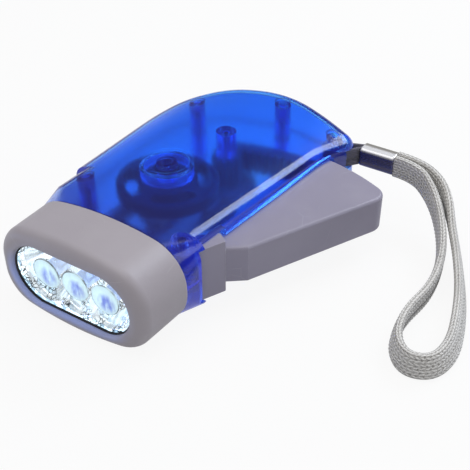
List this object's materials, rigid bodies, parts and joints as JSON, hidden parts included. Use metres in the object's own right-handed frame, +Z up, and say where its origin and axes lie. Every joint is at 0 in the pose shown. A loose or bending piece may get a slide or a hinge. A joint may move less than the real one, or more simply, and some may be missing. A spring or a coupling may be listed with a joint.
{
  "type": "squeeze dynamo flashlight",
  "caption": "Hand-squeezed dynamo flashlight with a swinging side lever, gear train, flywheel generator, LED head and a braided wrist strap.",
  "frame": {"origin": "on the resting face, below the middle of the body", "axes": "head faces -Y, lever swings out on +X, +Z is up from the resting face"},
  "size_m": [0.1184, 0.1048, 0.0281],
  "materials": {
    "housing": "translucent, moulded",
    "bezel": "satin, painted grey",
    "lever": "satin",
    "lens": "clear",
    "reflector": "vacuum metallised",
    "led": "water clear resin",
    "board": "solder mask",
    "gear": "natural nylon",
    "steel": "ground",
    "spring": "drawn wire",
    "flywheel": "dark",
    "magnet": "sintered",
    "core": "stacked sheet",
    "copper": "enamelled wire",
    "bobbin": "moulded",
    "red_wire": "insulation",
    "black_wire": "insulation",
    "strap": "braided webbing",
    "tail": "woven",
    "ferrule": "bright"
  },
  "bodies": {
    "body": {"housing_top": "housing", "housing_bottom": "housing", "housing_screws": "steel", "head_bezel": "bezel", "lens_window": "lens", "reflector": "reflector", "led_left": "led", "led_middle": "led", "led_right": "led", "led_board": "board", "lever_pin": "steel", "first_gear_axle": "steel", "second_gear_axle": "steel", "flywheel_axle": "steel", "stator_core": "core", "coil_bobbin": "bobbin", "coil_winding": "copper", "lead_red": "red_wire", "lead_black": "black_wire", "return_spring": "spring", "strap_tail": "tail", "strap_ferrule": "ferrule", "strap_loop": "strap"},
    "lever": {"squeeze_lever": "lever", "sector_rack": "gear"},
    "first_gear": {"first_gear": "gear"},
    "second_gear": {"second_gear": "gear"},
    "clutch": {"clutch_pinion": "gear"},
    "flywheel": {"flywheel": "flywheel", "ring_magnet": "magnet", "ratchet_ring": "gear"}
  },
  "joints": [
    {"name": "lever_squeeze", "type": "hinge", "parent": "body", "child": "lever", "pos_m": [0.02, -0.03, 0.014], "axis": [0, 0, 1], "range_deg": [0, 20], "stiffness_Nm_per_rad": 0.057, "springref_deg": -34.38, "deforming": ["return_spring"]},
    {"name": "first_gear_spin", "type": "hinge", "parent": "body", "child": "first_gear", "pos_m": [0.00038, 0.02031, 0.014], "axis": [0, 0, 1], "range_deg": [-5, 295]},
    {"name": "second_gear_spin", "type": "hinge", "parent": "body", "child": "second_gear", "pos_m": [0.0013, 0.00714, 0.014], "axis": [0, 0, 1], "range_deg": [-627, 5]},
    {"name": "clutch_spin", "type": "hinge", "parent": "body", "child": "clutch", "pos_m": [-0.0031, -0.0053, 0.014], "axis": [0, 0, 1], "range_deg": [-5, 1337]},
    {"name": "flywheel_spin", "type": "hinge", "parent": "body", "child": "flywheel", "pos_m": [-0.0031, -0.0053, 0.014], "axis": [0, 0, 1], "continuous": true}
  ],
  "couplings": [
    {"joint": "first_gear_spin", "follows": "lever_squeeze", "ratio": 14.5},
    {"joint": "second_gear_spin", "follows": "lever_squeeze", "ratio": -31.071},
    {"joint": "clutch_spin", "follows": "lever_squeeze", "ratio": 66.582}
  ]
}
